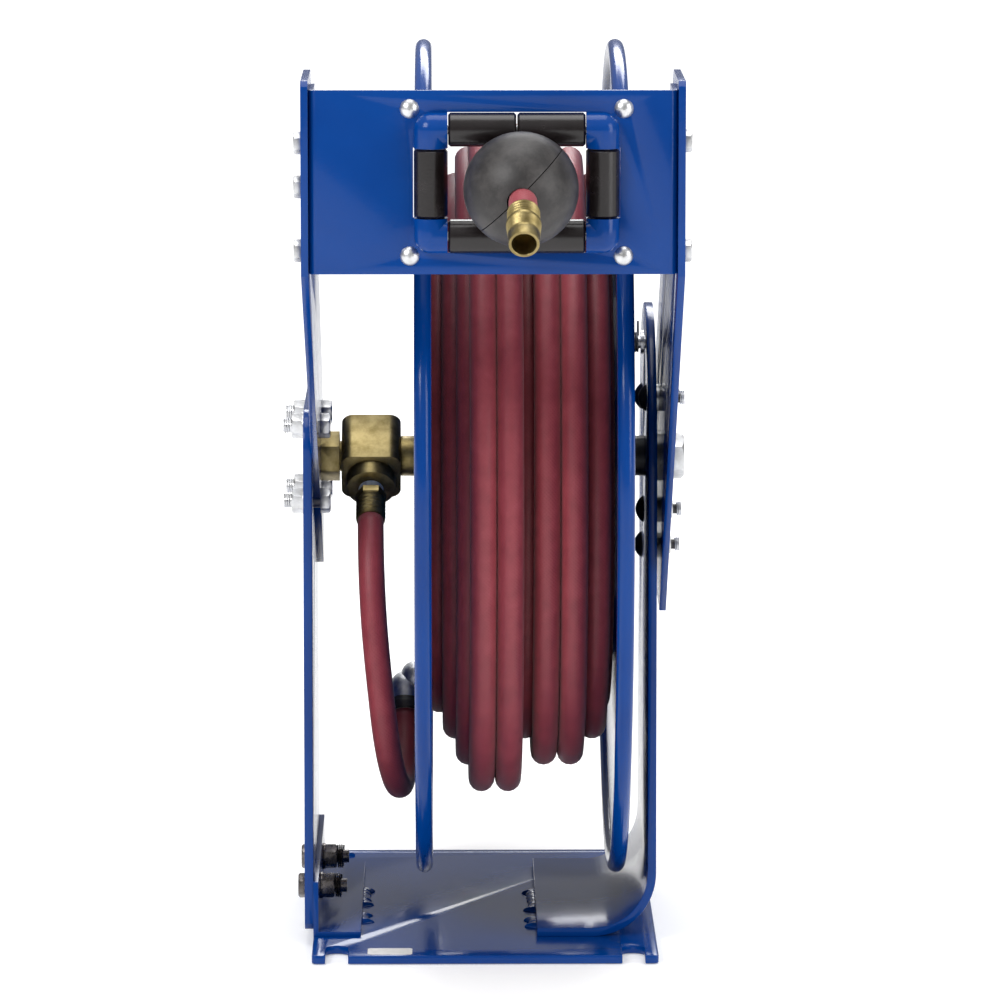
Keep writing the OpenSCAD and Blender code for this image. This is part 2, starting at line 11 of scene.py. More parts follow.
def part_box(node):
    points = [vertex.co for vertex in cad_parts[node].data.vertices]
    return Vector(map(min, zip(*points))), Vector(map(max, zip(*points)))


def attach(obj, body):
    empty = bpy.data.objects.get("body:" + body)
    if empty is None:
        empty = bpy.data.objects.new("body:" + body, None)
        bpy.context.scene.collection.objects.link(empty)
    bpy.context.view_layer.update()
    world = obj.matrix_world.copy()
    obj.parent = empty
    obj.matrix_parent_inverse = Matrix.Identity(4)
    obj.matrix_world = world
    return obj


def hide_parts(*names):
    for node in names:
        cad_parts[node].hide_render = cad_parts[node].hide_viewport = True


MM = 0.001
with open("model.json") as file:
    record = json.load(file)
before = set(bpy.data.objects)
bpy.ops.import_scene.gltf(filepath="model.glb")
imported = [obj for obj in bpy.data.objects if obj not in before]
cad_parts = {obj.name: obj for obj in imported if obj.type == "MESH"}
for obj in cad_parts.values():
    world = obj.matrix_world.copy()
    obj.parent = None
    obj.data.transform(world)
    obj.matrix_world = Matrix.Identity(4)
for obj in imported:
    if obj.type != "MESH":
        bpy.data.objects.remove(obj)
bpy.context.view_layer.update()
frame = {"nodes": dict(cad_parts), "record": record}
nodes = frame["nodes"]
body_of_node = {n: b for b, members in frame["record"]["behaviour"]["bodies"].items() for n in members}
slot_of_node = {s["node"]: s["material_slot"] for s in frame["record"]["subparts"]}

# ---- driving sizes, in millimetres, as the CAD has them ----
AXLE_Z = 277
HOSE_D = 15.5
CORE_R = 122.5
LAYER = 15.6
RING_STEP = 6          # degrees between the rings of a wound hose
HOSE_SIDES = 16
CROSS_FROM = 225       # part of a turn, on the far side, where the hose crosses to its next place
CROSS_TO = 315

# Places of the turns across the drum, from the innermost layer to the outermost that turns with it.
LAYERS = [
    (CORE_R + HOSE_D / 2 + 0.15, [-26.6, -11, 4.6, 20.2, 35.8, 51.4, 67]),
    (CORE_R + HOSE_D / 2 + LAYER + 0.2, [67, 51.4, 35.8, 20.2, 4.6, -11, -26.6]),
    (CORE_R + HOSE_D / 2 + 2 * LAYER + 0.35, [-17.2, -1.6, 24.5, 48.9, 64.5]),
    (CORE_R + HOSE_D / 2 + 3 * LAYER + 0.35, [51.2, 35.6, 6.2, -9.2]),
]
OUTER_R = CORE_R + HOSE_D / 2 + 4 * LAYER + 0.6
OUTER_TURNS = [-1.4, 14.2]
ELBOW_ANGLE = 201.8    # where the wound hose leaves the elbow, from the top towards the front

OUTLET_ROUTE = [(13.8, -24, 469.6), (14.2, -70, 468.4), (14.8, -120, 468), (15.3, -175, 468.4),
                (15.9, -230, 469.6), (16.6, -285, 471.2), (17.3, -330, 472.8), (18, -362, 473.4),
                (18.2, -372, 473.2), (18.4, -382, 472), (18.6, -390, 469.9), (18.7, -397, 467),
                (18.8, -404, 463.2)]
RISER_ROUTE = [(-67.2, -41.8, 244.4), (-67, -52, 235.5), (-66.7, -61.5, 223), (-66, -69, 206),
               (-64.8, -73, 186), (-63, -74.5, 165), (-61, -74, 145), (-58.6, -70, 122.4),
               (-55.8, -58.6, 102.6), (-52.8, -41, 87.8), (-50.4, -19.5, 80), (-48.8, 3.5, 80),
               (-48, 25, 87.8), (-47.6, 42.6, 102.6), (-47.5, 49.2, 112)]


# ---- small helpers ----

def metres(points):
    return [Vector(p) * MM for p in points]


def add_mesh(name, verts, faces, smooth=True):
    mesh = bpy.data.meshes.new(name)
    mesh.from_pydata([tuple(v) for v in verts], [], faces)
    mesh.validate()
    if smooth:
        mesh.shade_smooth()
    obj = bpy.data.objects.new(name, mesh)
    bpy.context.scene.collection.objects.link(obj)
    return obj


def finish_piece(obj, body, material, replaced=()):
    obj.data.materials.clear()
    obj.data.materials.append(material)
    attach(obj, body)
    if replaced:
        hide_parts(*replaced)
    return obj


def aim(direction):
    """Rotation that turns +Z to a direction."""
    return Vector(direction).to_track_quat("Z", "Y").to_matrix().to_4x4()


def smooth_path(points, step):
    """Evenly spaced points on a Catmull-Rom curve through the given ones."""
    ends = [2 * points[0] - points[1]] + list(points) + [2 * points[-1] - points[-2]]
    fine = []
    for a, b, c, d in zip(ends, ends[1:], ends[2:], ends[3:]):
        for k in range(12):
            t = k / 12
            fine.append(0.5 * (2 * b + (c - a) * t + (2 * a - 5 * b + 4 * c - d) * t ** 2
                               + (3 * b - a - 3 * c + d) * t ** 3))
    fine.append(points[-1].copy())
    count = max(2, round(path_length(fine) / step))
    return resample(fine, count)


def path_length(points):
    return sum((b - a).length for a, b in zip(points, points[1:]))


def resample(points, count):
    total = path_length(points)
    out, i, walked = [points[0].copy()], 0, 0.0
    for k in range(1, count):
        target = total * k / count
        while walked + (points[i + 1] - points[i]).length < target:
            walked += (points[i + 1] - points[i]).length
            i += 1
        piece = points[i + 1] - points[i]
        out.append(points[i] + piece * ((target - walked) / piece.length))
    out.append(points[-1].copy())
    return out


def sweep(name, path, radius, sides=HOSE_SIDES):
    """Tube along a path, closed at both ends, with its length and its turn round the tube as UVs."""
    verts, faces, uvs = [], [], []
    normal = Vector((1, 0, 0))
    walked = [0.0]
    for a, b in zip(path, path[1:]):
        walked.append(walked[-1] + (b - a).length)
    for i, p in enumerate(path):
        t = (path[min(i + 1, len(path) - 1)] - path[max(i - 1, 0)]).normalized()
        normal = (normal - t * normal.dot(t)).normalized()
        other = t.cross(normal)
        for k in range(sides):
            a = 2 * math.pi * k / sides
            verts.append(p + radius * (math.cos(a) * normal + math.sin(a) * other))
    for i in range(len(path) - 1):
        for k in range(sides):
            n = (k + 1) % sides
            faces.append((i * sides + k, i * sides + n, (i + 1) * sides + n, (i + 1) * sides + k))
            u0, u1 = walked[i], walked[i + 1]
            v0, v1 = k / sides, (k + 1) / sides
            uvs += [(u0, v0), (u0, v1), (u1, v1), (u1, v0)]
    faces.append(tuple(reversed(range(sides))))
    faces.append(tuple(range((len(path) - 1) * sides, len(path) * sides)))
    uvs += [(0, 0)] * sides + [(walked[-1], 0)] * sides
    obj = add_mesh(name, verts, faces)
    layer = obj.data.uv_layers.new(name="UVMap")
    for loop, uv in zip(layer.data, uvs):
        loop.uv = uv
    return obj


def lathe(name, profile, place, sides=48):
    """Solid of revolution about +Z from (radius, height) points in mm, moved by a matrix in metres."""
    verts, faces = [], []
    for r, z in profile:
        for k in range(sides):
            a = 2 * math.pi * k / sides
            verts.append(place @ Vector((r * math.cos(a) * MM, r * math.sin(a) * MM, z * MM)))
    rows = len(profile)
    for i in range(rows):
        j = (i + 1) % rows
        for k in range(sides):
            n = (k + 1) % sides
            faces.append((i * sides + k, i * sides + n, j * sides + n, j * sides + k))
    obj = add_mesh(name, verts, faces)
    obj.data.set_sharp_from_angle(angle=math.radians(35))
    fix_normals(obj)
    return obj


def fix_normals(obj):
    bm = bmesh.new()
    bm.from_mesh(obj.data)
    bmesh.ops.recalc_face_normals(bm, faces=bm.faces)
    bm.to_mesh(obj.data)
    bm.free()


def bake_modifiers(obj):
    depsgraph = bpy.context.evaluated_depsgraph_get()
    mesh = bpy.data.meshes.new_from_object(obj.evaluated_get(depsgraph))
    obj.modifiers.clear()
    obj.data = mesh
    return obj


def eased_copy(node, width_mm, material, segments=2):
    """Copy of a CAD node with its sharp edges rounded, which stands for the node."""
    mesh = nodes[node].data.copy()
    bm = bmesh.new()
    bm.from_mesh(mesh)
    bmesh.ops.remove_doubles(bm, verts=bm.verts, dist=2e-6)
    bmesh.ops.dissolve_limit(bm, angle_limit=math.radians(1), verts=bm.verts, edges=bm.edges)
    bm.to_mesh(mesh)
    bm.free()
    obj = bpy.data.objects.new("eased_" + node, mesh)
    bpy.context.scene.collection.objects.link(obj)
    bevel = obj.modifiers.new("edges", "BEVEL")
    bevel.width = width_mm * MM
    bevel.segments = segments
    bevel.limit_method = "ANGLE"
    bevel.angle_limit = math.radians(35)
    bevel.use_clamp_overlap = True
    bake_modifiers(obj)
    obj.data.shade_smooth()
    obj.data.set_sharp_from_angle(angle=math.radians(32))
    return finish_piece(obj, body_of_node[node], material, [node])


def thread(name, centre, axis, length, radius, pitch, body, material):
    """Helical ridge round a bolt's end; centre is where the thread starts, in mm."""
    turns = length / pitch
    steps = int(turns * 20)
    place = Matrix.Translation(Vector(centre) * MM) @ aim(axis)
    verts, faces = [], []
    for i in range(steps + 1):
        a = 2 * math.pi * i / 20
        z = i / 20 * pitch
        out = Vector((math.cos(a), math.sin(a), 0))
        depth = 0.32 * pitch * min(1, i / 8, (steps - i) / 8 + 0.02)
        for r, dz in ((radius - 0.15, -0.4), (radius + depth, 0), (radius - 0.15, 0.4)):
            verts.append(place @ ((out * r + Vector((0, 0, z + dz * pitch))) * MM))
    for i in range(steps):
        for k in range(3):
            n = (k + 1) % 3
            faces.append((3 * i + k, 3 * i + n, 3 * i + 3 + n, 3 * i + 3 + k))
    faces += [(2, 1, 0), (3 * steps, 3 * steps + 1, 3 * steps + 2)]
    obj = add_mesh(name, verts, faces, smooth=False)
    fix_normals(obj)
    return finish_piece(obj, body, material)


# ---- materials ----

def new_material(name):
    material = bpy.data.materials.new(name)
    material.use_nodes = True
    tree = material.node_tree
    return material, tree, tree.nodes["Principled BSDF"]


def node_of(tree, kind, **values):
    made = tree.nodes.new(kind)
    for key, value in values.items():
        if key in made.inputs:
            made.inputs[key].default_value = value
        else:
            setattr(made, key, value)
    return made


def noise(tree, coords, scale, detail=4.0, rough=0.6, stretch=None):
    source = coords
    if stretch:
        mapping = node_of(tree, "ShaderNodeMapping")
        mapping.inputs["Scale"].default_value = stretch
        tree.links.new(coords, mapping.inputs["Vector"])
        source = mapping.outputs["Vector"]
    tex = node_of(tree, "ShaderNodeTexNoise", Scale=scale, Detail=detail, Roughness=rough)
    tree.links.new(source, tex.inputs["Vector"])
    return tex.outputs["Fac"]


def ramp(tree, factor, stops):
    made = tree.nodes.new("ShaderNodeValToRGB")
    elements = made.color_ramp.elements
    while len(elements) < len(stops):
        elements.new(0.5)
    for element, (place, colour) in zip(elements, stops):
        element.position = place
        element.color = (*colour, 1) if len(colour) == 3 else colour
    tree.links.new(factor, made.inputs["Fac"])
    return made.outputs["Color"]


def spread(tree, factor, low, high):
    made = node_of(tree, "ShaderNodeMapRange")
    made.inputs["To Min"].default_value = low
    made.inputs["To Max"].default_value = high
    tree.links.new(factor, made.inputs["Value"])
    return made.outputs["Result"]


def bump(tree, shader, height, strength, distance, below=None):
    made = node_of(tree, "ShaderNodeBump", Strength=strength, Distance=distance)
    tree.links.new(height, made.inputs["Height"])
    if below:
        tree.links.new(below, made.inputs["Normal"])
    tree.links.new(made.outputs["Normal"], shader.inputs["Normal"])
    return made.outputs["Normal"]


def place_of(tree):
    return tree.nodes.new("ShaderNodeTexCoord").outputs["Object"]


def blue_enamel():
    """Glossy baked enamel with a fine orange peel and a few dull handling marks."""
    material, tree, shader = new_material("blue_enamel")
    at = place_of(tree)
    tone = ramp(tree, noise(tree, at, 9, 3), [(0.3, (0.0001, 0.033, 0.185)), (0.7, (0.0003, 0.045, 0.235))])
    tree.links.new(tone, shader.inputs["Base Color"])
    marks = spread(tree, noise(tree, at, 55, 8, 0.7, (1, 1, 3)), 0.11, 0.25)
    tree.links.new(marks, shader.inputs["Roughness"])
    shader.inputs["Specular IOR Level"].default_value = 0.22
    shader.inputs["Coat Weight"].default_value = 0.08
    shader.inputs["Coat Roughness"].default_value = 0.06
    bump(tree, shader, noise(tree, at, 420, 2, 0.5), 0.10, 0.0006)
    return material


def hose_rubber():
    """Satin maroon cover with the print of its wrapping cloth and faint rings along it."""
    material, tree, shader = new_material("hose_rubber")
    uv = tree.nodes.new("ShaderNodeTexCoord").outputs["UV"]
    at = place_of(tree)
    weave = []
    for turn in (1, -1):
        mapping = node_of(tree, "ShaderNodeMapping")
        mapping.inputs["Scale"].default_value = (900, 44 * turn, 1)
        tree.links.new(uv, mapping.inputs["Vector"])
        wave = node_of(tree, "ShaderNodeTexWave", Scale=0.32, Distortion=0.6)
        wave.bands_direction = "DIAGONAL"
        tree.links.new(mapping.outputs["Vector"], wave.inputs["Vector"])
        weave.append(wave.outputs["Fac"])
    cloth = node_of(tree, "ShaderNodeMath", operation="MULTIPLY")
    tree.links.new(weave[0], cloth.inputs[0])
    tree.links.new(weave[1], cloth.inputs[1])
    dust = noise(tree, at, 70, 7, 0.65)
    tone = ramp(tree, dust, [(0.25, (0.215, 0.026, 0.038)), (0.55, (0.285, 0.038, 0.052)),
                             (0.85, (0.355, 0.060, 0.076))])
    tree.links.new(tone, shader.inputs["Base Color"])
    tree.links.new(spread(tree, dust, 0.40, 0.58), shader.inputs["Roughness"])
    shader.inputs["Specular IOR Level"].default_value = 0.45
    shader.inputs["Sheen Weight"].default_value = 0.12
    shader.inputs["Sheen Roughness"].default_value = 0.5
    grain = bump(tree, shader, noise(tree, at, 1500, 2, 0.5), 0.10, 0.0003)
    bump(tree, shader, cloth.outputs[0], 0.22, 0.0004, grain)
    return material


def metal(name, dark, light, low, high, grain_scale, grain, stretch=(1, 1, 1)):
    """Bare or plated metal: tarnish in the colour, tool marks in the roughness and the bump."""
    material, tree, shader = new_material(name)
    at = place_of(tree)
    tone = ramp(tree, noise(tree, at, 130, 6, 0.62), [(0.3, dark), (0.68, light)])
    tree.links.new(tone, shader.inputs["Base Color"])
    shader.inputs["Metallic"].default_value = 1.0
    wear = noise(tree, at, 260, 6, 0.7, stretch)
    tree.links.new(spread(tree, wear, low, high), shader.inputs["Roughness"])
    bump(tree, shader, noise(tree, at, grain_scale, 3, 0.55, stretch), grain, 0.0003)
    return material


def dark_surface(name, dark, light, low, high, scale, strength, stretch=(1, 1, 1)):
    """Black plastic, rubber or blackened steel, with scuffs and a fine grain."""
    material, tree, shader = new_material(name)
    at = place_of(tree)
    scuffs = noise(tree, at, 95, 8, 0.7, stretch)
    tree.links.new(ramp(tree, scuffs, [(0.42, dark), (0.78, light)]), shader.inputs["Base Color"])
    tree.links.new(spread(tree, scuffs, low, high), shader.inputs["Roughness"])
    shader.inputs["Specular IOR Level"].default_value = 0.5
    bump(tree, shader, noise(tree, at, scale, 3, 0.6, stretch), strength, 0.0003)
    return material


def white_tape():
    """Thin white thread tape, gathered in folds."""
    material, tree, shader = new_material("white_tape")
    at = place_of(tree)
    folds = noise(tree, at, 420, 5, 0.7, (1, 1, 0.35))
    tree.links.new(ramp(tree, folds, [(0.3, (0.62, 0.66, 0.68)), (0.65, (0.88, 0.9, 0.9))]),
                   shader.inputs["Base Color"])
    shader.inputs["Roughness"].default_value = 0.55
    shader.inputs["Subsurface Weight"].default_value = 0.15
    bump(tree, shader, folds, 0.7, 0.0008)
    return material


def paper_label():
    """Slightly mottled matt paper."""
    material, tree, shader = new_material("paper_label")
    at = place_of(tree)
    tone = ramp(tree, noise(tree, at, 240, 4), [(0.3, (0.68, 0.67, 0.64)), (0.7, (0.8, 0.79, 0.77))])
    tree.links.new(tone, shader.inputs["Base Color"])
    shader.inputs["Roughness"].default_value = 0.5
    bump(tree, shader, noise(tree, at, 900, 2), 0.15, 0.0002)
    return material


LOOKS = {
    "blue_enamel": blue_enamel(),
    "hose_rubber": hose_rubber(),
    "brass": metal("brass", (0.19, 0.145, 0.055), (0.36, 0.290, 0.135), 0.30, 0.50, 900, 0.16, (1, 1, 2.5)),
    "zinc": metal("zinc", (0.50, 0.50, 0.50), (0.74, 0.75, 0.77), 0.22, 0.42, 700, 0.14),
    "spring_steel": metal("spring_steel", (0.16, 0.16, 0.17), (0.33, 0.34, 0.36), 0.3, 0.5, 700, 0.12),
    "black_steel": dark_surface("black_steel", (0.012, 0.012, 0.014), (0.05, 0.048, 0.048), 0.28, 0.5,
                                600, 0.2),
    "black_plastic": dark_surface("black_plastic", (0.005, 0.003, 0.003), (0.014, 0.010, 0.011), 0.16, 0.34,
                                  900, 0.12, (0.4, 1, 1)),
    "black_rubber": dark_surface("black_rubber", (0.014, 0.012, 0.012), (0.055, 0.05, 0.048), 0.34, 0.6,
                                 800, 0.3),
    "white_tape": white_tape(),
}
LABEL = paper_label()
DARK_ZINC = metal("dark_zinc", (0.05, 0.045, 0.045), (0.22, 0.20, 0.19), 0.18, 0.36, 700, 0.14)
BRIGHT_CAST = metal("bright_cast", (0.62, 0.64, 0.66), (0.86, 0.87, 0.88), 0.34, 0.55, 500, 0.3)

for node_name, node_object in nodes.items():
    node_object.data.materials.clear()
    node_object.data.materials.append(LOOKS[slot_of_node[node_name]])


# ---- camera: 3.7 m in front of the axle and a little above it ----

CAMERA_DISTANCE = 3.7
CAMERA_RISE = math.radians(8.2)
LOOK_DOWN = math.radians(8.2 + 0.41)
LOOK_RIGHT = math.radians(0.51)
camera_data = bpy.data.cameras.new("camera")
camera_data.sensor_width = 36
camera_data.lens = 222.4
camera_data.clip_end = 50
camera = bpy.data.objects.new("camera", camera_data)
camera.location = (-0.0227, -CAMERA_DISTANCE * math.cos(CAMERA_RISE),
                   AXLE_Z * MM + CAMERA_DISTANCE * math.sin(CAMERA_RISE))
camera.rotation_euler = (math.pi / 2 - LOOK_DOWN, 0, -LOOK_RIGHT)
bpy.context.scene.collection.objects.link(camera)
bpy.context.scene.camera = camera


# ---- hoses ----

def on_drum(x, r, degrees):
    """Point at an angle from the top of the drum towards the front."""
    a = math.radians(degrees)
    return Vector((x, -r * math.sin(a), AXLE_Z + r * math.cos(a))) * MM


def ease(t):
    t = min(1, max(0, t))
    return t * t * (3 - 2 * t)


def wind(stops, first, last):
    """Points of a winding: each turn keeps its place, then crosses to the next one on the far side."""
    points = []
    degrees = first
    while degrees < last + RING_STEP:
        at = min(degrees, last)
        turn = min(int(at // 360), len(stops) - 1)
        x, r = stops[turn]
        if turn + 1 < len(stops):
            t = ease((at % 360 - CROSS_FROM) / (CROSS_TO - CROSS_FROM))
            x += (stops[turn + 1][0] - x) * t
            r += (stops[turn + 1][1] - r) * t
        lie = 0.22 * math.sin(math.radians(at * 1.7 + 40 * turn))
        points.append(on_drum(x + lie, r, at))
        degrees += RING_STEP
    return points


wound_stops = [(x, r) for r, places in LAYERS for x in places]
LAST_ANGLE = 360 * len(wound_stops) - (360 - CROSS_FROM)
wound_path = wind(wound_stops, ELBOW_ANGLE, LAST_ANGLE)
wound = sweep("wound_hose_turns", wound_path, HOSE_D / 2 * MM)
finish_piece(wound, "drum", LOOKS["hose_rubber"], ["wound_hose"])

outer_stops = [wound_stops[-1]] + [(x, OUTER_R) for x in OUTER_TURNS]
outer_path = wind(outer_stops, CROSS_FROM, 360 * len(outer_stops))
outlet_path = smooth_path([outer_path[-1]] + metres(OUTLET_ROUTE), 0.006)
free_path = outer_path + outlet_path[1:]
free_hose = sweep("delivery_hose_run", free_path, HOSE_D / 2 * MM)
finish_piece(free_hose, "frame", LOOKS["hose_rubber"], ["outer_turns", "delivery_hose"])

riser_path = smooth_path(metres(RISER_ROUTE), 0.005)
riser = sweep("riser_hose_run", riser_path, HOSE_D / 2 * MM, 24)
finish_piece(riser, "drum", LOOKS["hose_rubber"], ["riser_hose"])


# ---- brass ends ----

def ribbed(start, end, ribs, low, high):
    """Profile of a crimped sleeve: round ribs between two heights."""
    points = []
    pitch = (end - start) / ribs
    for i in range(ribs):
        for t, lift in ((0.08, 0), (0.25, 0.7), (0.45, 1), (0.65, 0.7), (0.84, 0)):
            points.append((low + (high - low) * lift, start + pitch * (i + t)))
    return points


def sleeve(points, bore):
    """Closed profile: an outside, then the bore back down."""
    top = points[-1][1]
    bottom = points[0][1]
    return points + [(bore, top), (bore, bottom)]


last_step = (Vector(OUTLET_ROUTE[-1]) - Vector(OUTLET_ROUTE[-2])).normalized()
tilt = math.acos(last_step.z)
outlet_axis = Vector((0, -math.sin(tilt), math.cos(tilt)))
outlet_place = Matrix.Translation(Vector(OUTLET_ROUTE[-1]) * MM) @ aim(outlet_axis)

ferrule_points = [(8.2, -4), (8.6, -3.6)] + ribbed(-3.4, 5.6, 4, 8.05, 8.9) + [(8.85, 6), (8.6, 7)]
outlet_ferrule = lathe("outlet_ferrule_ribbed", sleeve(ferrule_points, 7.72), outlet_place)
finish_piece(outlet_ferrule, "frame", LOOKS["brass"], ["outlet_ferrule"])

fitting_points = [(7.6, 0.2), (7.6, 7), (9.1, 7.1), (9.5, 7.6), (9.5, 8.6)]
fitting_points += [(9.2 - 0.05 * i + (0.22 if i % 2 else -0.12), 9.2 + 0.55 * i) for i in range(16)]
fitting_points += [(8.3, 18.4), (8.4, 19), (8.4, 24.9), (8.1, 25.8), (6.9, 26), (6.6, 25.7)]
fitting_points += [(6.6, 8), (4, 8), (4, 0.2)]
outlet_fitting = lathe("outlet_fitting_turned", fitting_points, outlet_place)
finish_piece(outlet_fitting, "frame", LOOKS["brass"], ["outlet_fitting"])

SWIVEL_CENTRE = Vector((-67.15, 0, AXLE_Z))
SWIVEL_TILT = math.radians(38)
swivel_axis = Vector((0, -math.cos(SWIVEL_TILT), -math.sin(SWIVEL_TILT)))
swivel_place = Matrix.Translation(SWIVEL_CENTRE * MM) @ aim(swivel_axis)

riser_points = [(7.6, 36.4), (8.4, 37)] + ribbed(37.4, 52, 5, 7.7, 8.85) + [(8.6, 52.4), (8.3, 53)]
riser_sleeve = lathe("riser_ferrule_ribbed", sleeve(riser_points, 5), swivel_place)
finish_piece(riser_sleeve, "drum", LOOKS["brass"])
hexagon = lathe("riser_ferrule_hexagon",
                [(8.6, 31), (9.2, 31.6), (9.2, 35.9), (8.6, 36.5), (5, 36.5), (5, 31)], swivel_place, 6)
finish_piece(hexagon, "drum", LOOKS["brass"], ["riser_ferrule"])

tape_random = random.Random(7)
tape_points = [(7.2 + tape_random.uniform(-0.3, 0.55), 27 + 0.36 * i) for i in range(12)]
tape = lathe("thread_tape_wrap", sleeve(tape_points, 5), swivel_place)
finish_piece(tape, "drum", LOOKS["white_tape"], ["thread_tape"])


# ---- drum discs ----

LEFT_DISC_X = -35.5
RIGHT_DISC_X = 78.5
LEFT_HOLE_R = 12
RIGHT_HOLE_R = 28
RIM_R = 244            # radius of the rolled edge's centre line
EDGE_R = 5             # radius of the rolled edge's section
SHEET_R = 239.5        # where the flat sheet meets the rolled edge
RIB_RADII = (215, 165)
HALF_RIB = [(6, 0), (4.6, 0.5), (3, 1.3), (1.5, 1.5)]


def disc_profile(hole, side):
    """Outline of half a disc: sheet, two pressed ribs on one face and the rolled edge."""
    face = side * 1.0
    points = [(hole, -face), (SHEET_R, -face)]
    for k in range(25):
        a = math.radians(192 - 384 * k / 24)
        points.append((RIM_R + EDGE_R * math.cos(a), -face * EDGE_R * math.sin(a)))
    points.append((SHEET_R, face))
    rib = HALF_RIB + [(-across, lift) for across, lift in reversed(HALF_RIB)]
    for middle in RIB_RADII:
        for across, lift in rib:
            points.append((middle + across, face + side * lift))
    points.append((hole, face))
    return points


def drum_disc(name, x, hole, side, node):
    place = Matrix.Translation(Vector((x, 0, AXLE_Z)) * MM) @ aim((1, 0, 0))
    disc = lathe(name, disc_profile(hole, side), place, 192)
    finish_piece(disc, "drum", LOOKS["blue_enamel"], [node])


drum_disc("left_disc_pressed", LEFT_DISC_X, LEFT_HOLE_R, -1, "left_disc")
drum_disc("right_disc_pressed", RIGHT_DISC_X, RIGHT_HOLE_R, 1, "right_disc")


# ---- threads, spring, welds and label ----

RIGHT, LEFT = (1, 0, 0), (-1, 0, 0)
SWIVEL_BOLTS = [(y, AXLE_Z + z) for y in (-30, 30) for z in (-22.5, 22.5)]
ARM_BOLTS = [(y, AXLE_Z + z) for y, z in ((-30, 39), (45, 30), (12, -34), (40, -60))]
BASE_BOLTS = [(-42, 23.7), (42, 23.7)]
LEFT_GUIDE_BOLTS = [(-303, 474 + z) for z in (-40, -5, 19)]
RIGHT_GUIDE_BOLTS = [(-303, 474 + z) for z in (-40, 20)]


def threads():
    """Threads on the bolts: kind, places, start along X, direction, length, radius, pitch and look."""
    zinc = LOOKS["zinc"]
    rows = [
        ("swivel", SWIVEL_BOLTS, -114.2, LEFT, 4.6, 4, 1.25, zinc),
        ("arm", ARM_BOLTS, 116.2, RIGHT, 2.8, 4, 1, zinc),
        ("base", BASE_BOLTS, -89.2, RIGHT, 4.1, 7, 1.25, DARK_ZINC),
        ("left_guide", LEFT_GUIDE_BOLTS, -89, RIGHT, 3.6, 3, 1, zinc),
        ("right_guide", RIGHT_GUIDE_BOLTS, 95.5, LEFT, 3.6, 3, 1, zinc),
    ]
    for kind, places, x, axis, length, radius, pitch, look in rows:
        for i, (y, z) in enumerate(places):
            thread(f"{kind}_thread_{i}", (x, y, z), axis, length, radius, pitch, "frame", look)


def pawl_coil():
    """Torsion spring round the pawl's pin, with both of its legs."""
    low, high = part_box("pawl_spring")
    middle = (low + high) / 2
    turns, steps, radius = 4, 24, 5.4 * MM
    path = [Vector((low.x + 0.0008, middle.y + radius, middle.z - 0.012))]
    for i in range(turns * steps + 1):
        a = 2 * math.pi * i / steps
        x = low.x + 0.0008 + (high.x - low.x - 0.0016) * i / (turns * steps)
        path.append(Vector((x, middle.y + radius * math.cos(a), middle.z + radius * math.sin(a))))
    path.append(Vector((high.x - 0.0008, middle.y + radius, middle.z + 0.012)))
    coil = sweep("pawl_spring_coil", path, 0.7 * MM, 10)
    finish_piece(coil, "frame", LOOKS["spring_steel"], ["pawl_spring"])


def weld(name, corner_x, side, first_y, last_y, seed):
    """Ragged bead in the corner between an upright edge and the base plate, with a spatter at each end."""
    rng = random.Random(seed)
    verts, faces = [], []
    count, arc = int((last_y - first_y) / 0.8), 9
    lean = [rng.uniform(-1, 1) for _ in range(count // 3 + 3)]
    for i in range(count + 1):
        y = first_y + (last_y - first_y) * i / count
        ends = min(1, i / 5 + 0.15, (count - i) / 5 + 0.15)
        t = i / 3 % 1
        wander = lean[i // 3] * (1 - t) + lean[i // 3 + 1] * t
        flare = 2.6 * math.exp(-((min(i, count - i) - 6) / 4) ** 2)
        wide = (4.2 + 0.5 * abs(math.sin(math.pi * i / 4)) + 0.8 * wander + flare) * ends
        tall = (2.6 + 0.25 * abs(math.sin(math.pi * i / 4)) + 0.3 * wander) * ends
        for k in range(arc):
            a = math.pi / 2 * k / (arc - 1)
            verts.append(Vector((corner_x + side * wide * math.cos(a), y, 5 + tall * math.sin(a))) * MM)
        verts.append(Vector((corner_x, y, 5)) * MM)
    row = arc + 1
    for i in range(count):
        for k in range(row):
            n = (k + 1) % row
            faces.append((i * row + k, i * row + n, (i + 1) * row + n, (i + 1) * row + k))
    faces += [tuple(range(row)), tuple(count * row + k for k in range(row))]
    bead = add_mesh(name, verts, faces)
    fix_normals(bead)
    return bead


# Each weld's name, corner, side, the stretches along Y and the first one's random seed.
WELDS = [("foot_weld", 31, -1, [(-78, -52), (-34, 24)], 6),
         ("angle_weld", -73, 1, [(-66, -38), (-18, 30)], 7)]


def weld_pieces():
    for name, corner_x, side, stretches, seed in WELDS:
        for i, (first_y, last_y) in enumerate(stretches):
            bead = weld(f"{name}_{i}", corner_x, side, first_y, last_y, seed + i)
            replaced = ["weld_beads"] if i == 0 else []
            finish_piece(bead, "frame", LOOKS["blue_enamel"], replaced)


LABEL_X, LABEL_Y = -55.5, -139
LABEL_HALF_X, LABEL_HALF_Y = 11, 6    # to the centres of its round corners
LABEL_CORNER_R = 2
LABEL_HEIGHTS = (5.0, 5.2)            # the base plate's top, and the paper's own top


